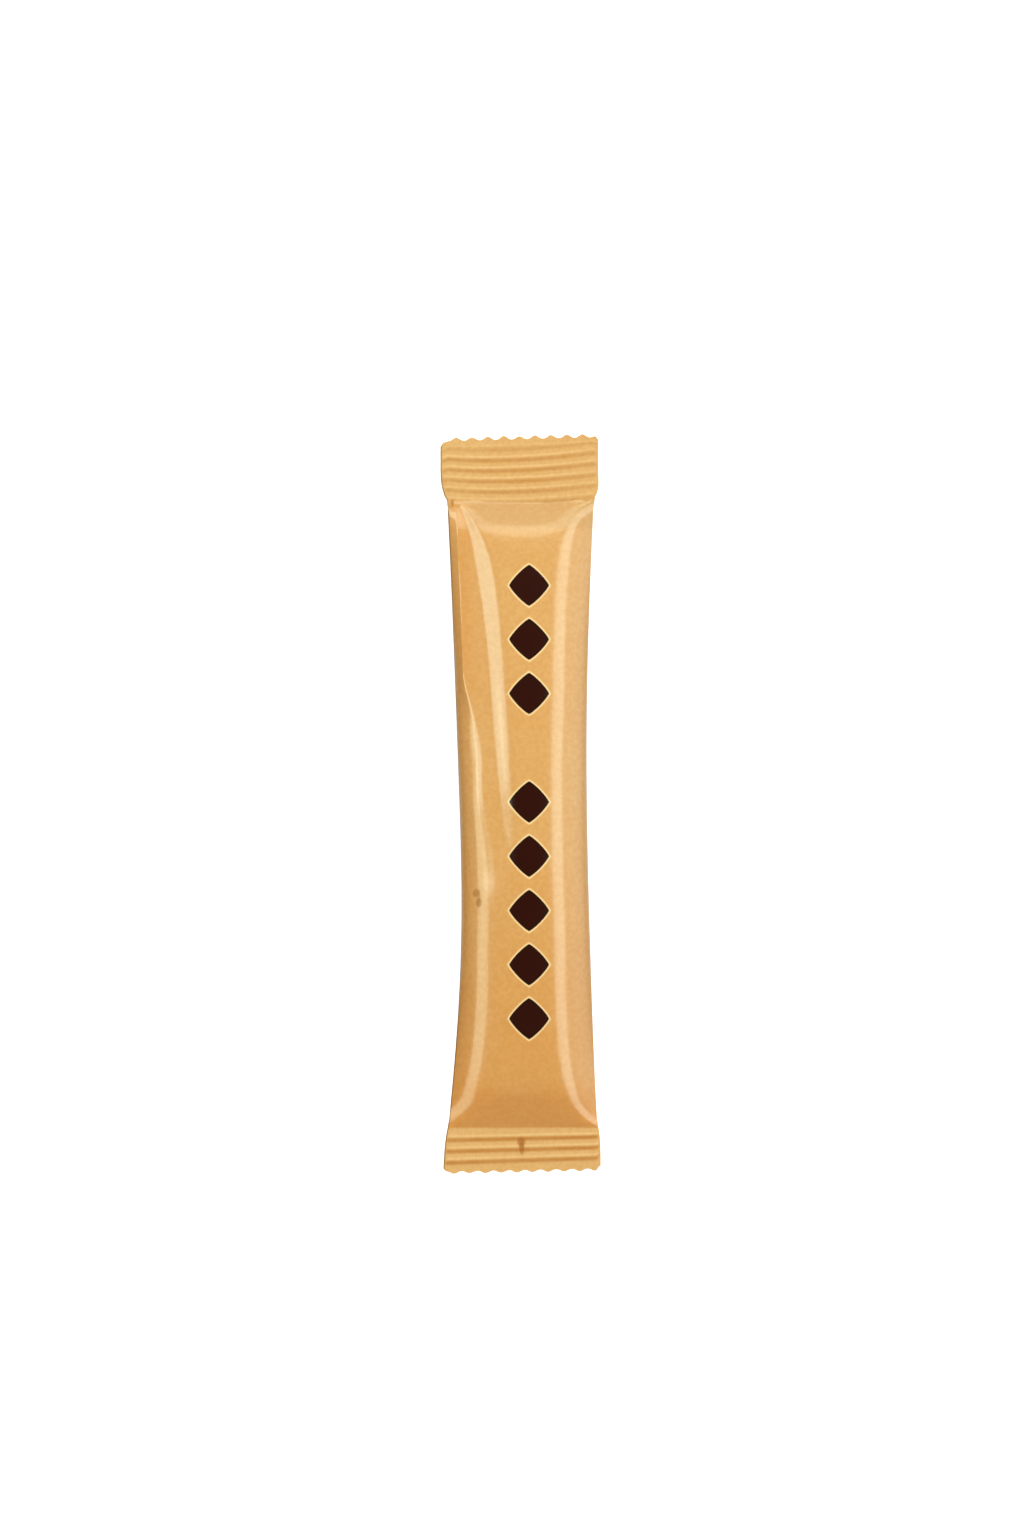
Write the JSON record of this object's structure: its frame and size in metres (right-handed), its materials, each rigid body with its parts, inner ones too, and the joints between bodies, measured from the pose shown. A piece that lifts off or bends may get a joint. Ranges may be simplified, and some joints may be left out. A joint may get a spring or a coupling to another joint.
{
  "type": "sugar stick pouch",
  "caption": "Slim filled stick pouch of sugar in kraft film, pressed flat and ribbed at both ends with toothed cuts and a seam folded flat along the back.",
  "frame": {"origin": "centre of the pouch's length and width, at the flat spot it rests on", "axes": "+X across the pouch to the right as its front is looked at, +Y along it towards the wider ribbed end seal, +Z out of the front face, away from the back seam"},
  "size_m": [0.0208, 0.0962, 0.0087],
  "materials": {
    "kraft_film": "satin kraft paper laminate"
  },
  "bodies": {
    "root": {"pouch": "kraft_film"}
  },
  "joints": []
}
